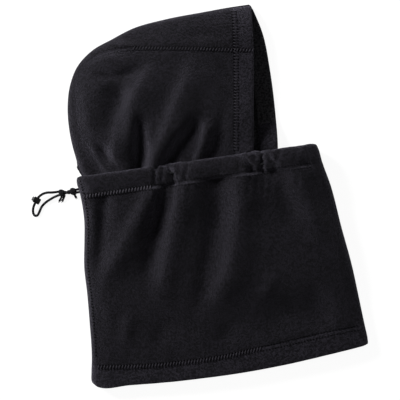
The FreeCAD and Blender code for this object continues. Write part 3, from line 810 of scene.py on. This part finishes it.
# ---- Threads

PITCH = 3.6  # length of a stitch
NEEDLE_GAUGE = 5.4  # between the rows of a turned hem
CROWN_GAUGE = 5.0
CROSSED = 0.4  # how far inside its row each crossing thread starts
EVERYWHERE = (-math.inf, math.inf)
ROW_THREAD = 0.50  # radius of the rows' threads
CROSSING_THREAD = 0.55
BEAD_PROFILE = [(0.0, 0.3), (0.16, 0.85), (0.5, 1.0), (0.84, 0.85), (1.0, 0.3)]
BEAD_SIDES = 6
SATIN_STITCHES = 40  # round the buttonhole


def ring_faces(rings, sides, closed=False):
    """Faces of a tube of rings, with caps if it is open."""
    faces = []
    for i in range(rings if closed else rings - 1):
        here = i * sides
        there = (i + 1) % rings * sides
        for k in range(sides):
            after = (k + 1) % sides
            faces.append([here + k, here + after, there + after, there + k])
    if not closed:
        faces.append(list(range(sides - 1, -1, -1)))
        faces.append([(rings - 1) * sides + k for k in range(sides)])
    return faces


def beads(starts, ends, radius, lift):
    """Short plump threads from starts to ends, raised by lift in their middles."""
    starts = np.array(starts)
    ends = np.array(ends)
    run = ends - starts
    along = run / np.linalg.norm(run, axis=1)[:, None]
    up = np.tile([0.0, 0.0, 1.0], (len(starts), 1))
    side = np.cross(along, up)
    side /= np.maximum(np.linalg.norm(side, axis=1)[:, None], 1e-9)
    up = np.cross(side, along)
    verts = []
    for part, swell in BEAD_PROFILE:
        centre = starts + run * part + up * lift * math.sin(math.pi * part)
        for k in range(BEAD_SIDES):
            angle = math.tau * k / BEAD_SIDES
            verts.append(centre + radius * swell * (side * math.cos(angle)
                                                    + up * math.sin(angle)))
    size = len(verts)
    one = ring_faces(len(BEAD_PROFILE), BEAD_SIDES)
    faces = [[v + n * size for v in face] for n in range(len(starts)) for face in one]
    return np.stack(verts, axis=1).reshape(-1, 3), faces


def joined(name, meshes, material=THREAD_SHADED):
    """One piece of several (vertices, faces) meshes."""
    verts = []
    faces = []
    for more, polygons in meshes:
        start = sum(len(v) for v in verts)
        verts.append(more)
        faces += [[v + start for v in polygon] for polygon in polygons]
    return add_mesh(name, np.vstack(verts), faces, material)


def on_surface(line, height, rise):
    """Points rise above a surface. rise is a number, or a function of the plan points."""
    return np.column_stack([line, height(line) + (rise(line) if callable(rise) else rise)])


def stitched(name, centre, height, gauge, crossed, rise=0.25, crossing=THREAD_CROSSING_LIT):
    """A coverstitch along a plan line: two rows, and the threads that cross between them
    where X is within crossed."""
    starts = []
    ends = []
    for offset in (-gauge / 2, gauge / 2):
        row = on_surface(evenly(beside(centre, offset), PITCH), height, rise)
        gap = (row[1:] - row[:-1]) * 0.2
        starts += list(row[:-1] + gap)
        ends += list(row[1:] - gap)
    made = [beads(starts, ends, ROW_THREAD, 0.22)]
    row_faces = len(made[0][1])
    if crossed:
        fine = [on_surface(evenly(beside(centre, offset), PITCH / 2), height, rise)
                for offset in (-gauge / 2 + CROSSED, gauge / 2 - CROSSED)]
        last = min(len(fine[0]), len(fine[1])) - 1
        chosen = [i for i in range(0, last, 2) if crossed[0] < fine[0][i][0] < crossed[1]]
        made.append(beads([fine[0][i] for i in chosen],
                          [fine[1][i + 1] for i in chosen], CROSSING_THREAD, 0.55))
    piece = joined(name, made)
    piece.data.materials.append(crossing)
    slots = np.arange(len(piece.data.polygons)) >= row_faces
    piece.data.polygons.foreach_set("material_index", slots.astype(np.int32))
    return piece


def part_of(line, low, high, axis=1):
    """The points of a line between two values of one coordinate."""
    return line[(line[:, axis] > low) & (line[:, axis] < high)]


def far_cloth(line):
    """Height of the far layer's inner face."""
    return hood_far(line) + CLOTH


def crown_rise(line):
    """The crown's rows are sunk in the cloth towards the back."""
    return -0.6 + 0.85 * ease(line[:, 0], -110, -75)


def tunnel_rise(line):
    """The tunnel's rows stand proud at the back and sink towards the gathers."""
    return 0.5 - 0.45 * ease(line[:, 0], -72, -50)


def build_threads():
    """Every piece of thread by name, with the CAD nodes that it replaces."""
    crown = CROWN_LINE[(CROWN_LINE[:, 0] < 80) & (CROWN_LINE[:, 1] > 44)]
    face = part_of(NEAR_FACE + (-HEM_WIDTH + 0.4, 0), 44, 214)
    far_face = part_of(FAR_FACE + (-HEM_WIDTH + 0.4, 0), 44, 200)
    tunnel = part_of(TUNNEL_SEAM, -145, 128, 0) + (0, 0.5)
    hem = part_of(HEM_SEAM, -158, 158, 0) + (0, -1.0)
    back = part_of(LEFT + (5.6, 0), -176, 38)
    rows = {
        "crown_stitches_near": (["crown_seam_right"], crown, hood_near, CROWN_GAUGE,
                                (-60, math.inf), crown_rise),
        "crown_stitches_far": (["crown_seam_left"], crown, far_cloth, CROWN_GAUGE, None),
        "face_stitches_near": (["face_hem_stitching"], face, hood_near, NEEDLE_GAUGE,
                               EVERYWHERE),
        "face_stitches_far": ([], far_face, far_cloth, NEEDLE_GAUGE, EVERYWHERE, 0.45),
        # The tunnel's crossing threads at the back are a painted highlight, where the key light
        # falls.
        "tunnel_stitches": (["tunnel_stitching"], tunnel, gaiter_near, NEEDLE_GAUGE,
                            (-math.inf, -62), tunnel_rise, THREAD_LIT),
        "bottom_stitches": (["bottom_hem_stitching"], hem, gaiter_near, NEEDLE_GAUGE,
                            (-math.inf, 40), 0.3),
        "back_stitches": (["gaiter_back_seam"], back, gaiter_near, 1.0, None, 0.3),
    }
    made = {name: (stitched(name, *how), nodes) for name, (nodes, *how) in rows.items()}
    made["neck_stitches"] = (neck_threads(), ["neck_seam"])
    made["buttonhole_frame"] = (buttonhole_threads(), ["buttonhole_stitching"])
    return made


def neck_threads():
    """Two rows through the hood's foot, on each layer, that sew it to the gaiter's inside."""
    made = []
    for y in (-92.0, -87.0):
        line = evenly([(-122.0, y), (44.0, y)], 3.0)
        for height, rise in ((hood_near, -3.0), (hood_far, 2.8)):
            row = on_surface(line, height, rise)
            gap = (row[1:] - row[:-1]) * 0.11
            made.append(beads(row[:-1] + gap, row[1:] - gap, ROW_THREAD, 0.1))
    return joined("neck_stitches", made)


def tunnel_end_x(y, z):
    """Where the tunnel's folded back end is, at a height."""
    radius = edge_radius(np.array([y]))[0]
    edge = np.interp(-y, -LEFT[:, 1], LEFT[:, 0])
    return edge + radius - math.sqrt(max(radius ** 2 - (radius - z) ** 2, 0.0))


def buttonhole_threads():
    """Satin stitches close together all round the cord's slot, from an inner ellipse to an
    outer one."""
    rings = []
    for wide, tall in ((3.2, 1.9), (4.9, 3.3)):
        ring = []
        for k in range(SATIN_STITCHES):
            angle = math.tau * k / SATIN_STITCHES
            y = SLOT_Y + wide * math.cos(angle)
            z = max(4.3 + tall * math.sin(angle), 0.9)
            ring.append((tunnel_end_x(y, z) - 0.15, y, z))
        rings.append(ring)
    return joined("buttonhole_frame", [beads(*rings, 0.34, 0.1)])


# ---- Cord. The routes are in metres, and follow the CAD cord.

CORD_DIAMETER = 0.003
STRAND_Z = 0.00425
KNOT_MOUTH = -0.1737  # X where the loop leaves the outer knot
BUTTON_OUT = (-0.819152, 0.573576, 0.0)  # the way the lock's button points
LOOP_ROUTE = [
    (KNOT_MOUTH, 0.0272, 0.00375), (-0.18244, 0.02712, 0.00375), (-0.18870, 0.02828, 0.00375),
    (-0.19496, 0.02712, 0.00375), (-0.20040, 0.02379, 0.00375), (-0.20427, 0.01874, 0.00375),
    (-0.2079, 0.0126, 0.0034), (-0.2092, 0.0070, 0.0024), (-0.2080, 0.0026, 0.0016),
    (-0.2042, 0.0022, 0.0016), (-0.2012, 0.0068, 0.0016), (-0.1978, 0.0126, 0.0016),
    (-0.1922, 0.0169, 0.0019), (-0.1856, 0.0199, 0.0026), (-0.1794, 0.0222, 0.0034),
    (KNOT_MOUTH, 0.0234, 0.0038)]

# The strands lie side by side in the tunnel, and cross over and under between the knots.
STRAND_X = (-0.080, -0.110, -0.146, -0.1555, -0.1590, -0.1622, -0.1652, -0.1690)
IN_TUNNEL_Z = [STRAND_Z] * 4
STRAND_ROUTES = [
    list(zip(STRAND_X, (0.0234, 0.0234, 0.0234, 0.0232, 0.0250, 0.0265, 0.0252, 0.0235),
             IN_TUNNEL_Z + [0.0064, 0.0046, 0.0026, 0.0044])),
    list(zip(STRAND_X, (0.0266, 0.0266, 0.0266, 0.0268, 0.0250, 0.0235, 0.0248, 0.0265),
             IN_TUNNEL_Z + [0.0026, 0.0044, 0.0064, 0.0046]))]


def cord_curve(name, route):
    """A cord along its route, as one smooth spline."""
    curve = bpy.data.curves.new(name, "CURVE")
    curve.dimensions = "3D"
    curve.bevel_depth = CORD_DIAMETER / 2
    curve.bevel_resolution = 5
    curve.resolution_u = 12
    curve.use_fill_caps = True
    spline = curve.splines.new("NURBS")
    spline.points.add(len(route) - 1)
    for point, place in zip(spline.points, route):
        point.co = (*place, 1.0)
    spline.order_u = 3
    spline.use_endpoint_u = True
    curve.materials.append(CORD)
    return linked(name, curve)


def tube(points, radius, sides, closed=False, taper=None):
    """A mesh tube round a line of points, in millimetres. taper gives its swell along it."""
    points = np.array(points, float)
    count = len(points)
    if closed:
        along = np.roll(points, -1, axis=0) - np.roll(points, 1, axis=0)
    else:
        along = np.gradient(points, axis=0)
    along /= np.linalg.norm(along, axis=1)[:, None]
    normal = np.cross(along[0], (0.3, 0.5, 0.81))
    verts = []
    for i in range(count):
        normal = normal - along[i] * (normal @ along[i])
        normal = normal / np.linalg.norm(normal)
        across = np.cross(along[i], normal)
        size = radius * (taper(i / (count - 1)) if taper else 1.0)
        for k in range(sides):
            angle = math.tau * k / sides
            verts.append(points[i] + size * (normal * math.cos(angle)
                                             + across * math.sin(angle)))
    return np.array(verts), ring_faces(count, sides, closed)


# Radii of the tubes, in millimetres.
KNOT_CORD = 1.85
TAIL = 1.3
FIBRE = 0.16
SPRING_WIRE = 0.1


def box_of(node):
    """The low and high corners of a CAD node's box, in millimetres."""
    return (np.array(corner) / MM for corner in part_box(node))


def knot(name, node, turn):
    """An overhand knot pulled down tight, inside its CAD solid's box."""
    low, high = box_of(node)
    centre = (low + high) / 2
    half = (high - low) / 2 - (1.2, 1.4, 1.9)
    t = np.linspace(0, math.tau, 90, endpoint=False) + turn
    path = np.column_stack([-np.sin(3 * t) * half[0],
                            (np.sin(t) + 2 * np.sin(2 * t)) / 2.76 * half[1],
                            (np.cos(t) - 2 * np.cos(2 * t)) / 3.0 * half[2]])
    return joined(name, [tube(path + centre, KNOT_CORD, 12, closed=True)], CORD)


def scattered(reach):
    """A random offset within reach along each axis."""
    return np.array([random.uniform(-reach, reach) for _ in range(3)])


def cut_ends():
    """The cut ends: short tails with singed, slightly frayed tips."""
    tails = [[(-156.9, 22.6, 3.2), (-156.2, 19.6, 2.2), (-155.2, 17.0, 1.7)],
             [(-171.2, 22.0, 3.0), (-173.2, 19.4, 2.1), (-175.8, 16.0, 1.7)],
             [(-168.4, 22.0, 3.0), (-170.4, 18.6, 2.1), (-172.6, 15.2, 1.7)]]
    made = []
    for tail in tails:
        line = smooth_line(tail, 0.5)
        made.append(tube(line, TAIL, 10, taper=lambda t: 1.0 + 0.12 * t ** 4))
        tip = line[-1]
        along = (line[-1] - line[-4]) / np.linalg.norm(line[-1] - line[-4])
        for _ in range(9):
            start = tip + scattered(0.7) * (1, 1, 0.6)
            spray = along + scattered(0.5) * (1, 1, 0.2)
            made.append(tube([start - along * 0.6, start + spray * 0.6, start + spray * 1.2],
                             FIBRE, 5))
    return joined("drawcord_tails", made, CORD)


def build_cord():
    """The loop, the two strands, the two knots and the cut ends."""
    loop = cord_curve("cord_loop", LOOP_ROUTE)
    strands = [cord_curve("cord_strand_%d" % (k + 1), route)
               for k, route in enumerate(STRAND_ROUTES)]
    first = knot("knot_inner", "inner_knot", 0.3)
    second = knot("knot_outer", "outer_knot", 1.1)
    tails = cut_ends()
    return loop, strands, first, second, tails


def build_spring():
    """The lock's conical spring, whose turns nest as the button goes in."""
    low, high = box_of("cord_lock_spring")
    centre = (low + high) / 2
    out = np.array(BUTTON_OUT)
    up = (0.0, 0.0, 1.0)
    side = np.cross(up, out)
    t = np.linspace(0.0, 1.0, 110)
    turns = 3
    angle = math.tau * turns * t
    radius = 2.2 - 1.2 * t
    line = (centre + np.outer((t - 0.5) * 1.1, out)
            + np.outer(radius * np.cos(angle), side)
            + np.outer(radius * np.sin(angle), up))
    spring = joined("lock_spring", [tube(line, SPRING_WIRE, 6)], STEEL)
    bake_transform(spring)
    return spring


# ---- Assemble

hood = build_hood()
gaiter = build_gaiter()
threads = build_threads()
loop, strands, inner_knot, outer_knot, tails = build_cord()
spring = build_spring()

for piece, node in (
        (hood["hood_panel_near"], "hood_panel_right"),
        (hood["hood_panel_far"], "hood_panel_left"),
        (hood["hood_crown"], "crown_strip"),
        (hood["face_opening_hem"], "face_hem"),
        (gaiter["gaiter_tube"], "gaiter_body"),
        (gaiter["gaiter_tunnel"], "drawcord_tunnel"),
        (gaiter["gaiter_hem"], "bottom_hem")):
    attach(piece, "garment")
    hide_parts(node)
for piece, nodes in threads.values():
    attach(piece, "garment")
    if nodes:
        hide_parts(*nodes)
for piece in [loop, *strands, inner_knot, outer_knot, tails]:
    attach(piece, "drawcord")
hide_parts("drawcord_loop")
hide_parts("drawcord_strands")
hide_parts("drawcord_pair")
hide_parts("inner_knot")
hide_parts("outer_knot")
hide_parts("drawcord_ends")
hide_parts("cord_lock_spring")

# These CAD nodes are shown as they are, in the scene's materials.
for node, material in (("drawcord_ring", CORD), ("cord_lock_body", LOCK),
                       ("cord_lock_plunger", BUTTON)):
    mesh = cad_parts[node].data
    mesh.materials.clear()
    mesh.materials.append(material)


# ---- Floor and light

WHITE = (1.0, 1.0, 1.0, 1.0)


def build_floor():
    """A wide white floor that glows a little, as the photograph's white ground does."""
    mesh = bpy.data.meshes.new("floor")
    mesh.from_pydata([(-9, -9, 0), (9, -9, 0), (9, 9, 0), (-9, 9, 0)], [], [[0, 1, 2, 3]])
    floor = linked("floor", mesh)
    white, _, shader = node_material("floor_white", 0.9, 0.0)
    set_inputs(shader, {"Base Color": (0.12, 0.12, 0.12, 1.0), "Emission Color": WHITE,
                        "Emission Strength": 0.925})
    mesh.materials.append(white)


def area_light(name, place, size, power):
    """A round soft light that points at the garment's middle."""
    light = bpy.data.lights.new(name, "AREA")
    light.shape = "DISK"
    light.size = size
    light.energy = power
    lamp = linked(name, light)
    lamp.location = place
    lamp.rotation_euler = (-Vector(place)).to_track_quat("-Z", "Y").to_euler()


build_floor()
area_light("key", (-1.25, 1.15, 0.85), 0.7, 92.0)
area_light("fill", (1.3, -1.0, 1.5), 1.6, 4.0)
world = bpy.data.worlds.new("studio")
world.use_nodes = True
set_inputs(world.node_tree.nodes["Background"], {"Color": WHITE, "Strength": 0.3})
bpy.context.scene.world = world
bpy.context.scene.view_settings.view_transform = "Standard"
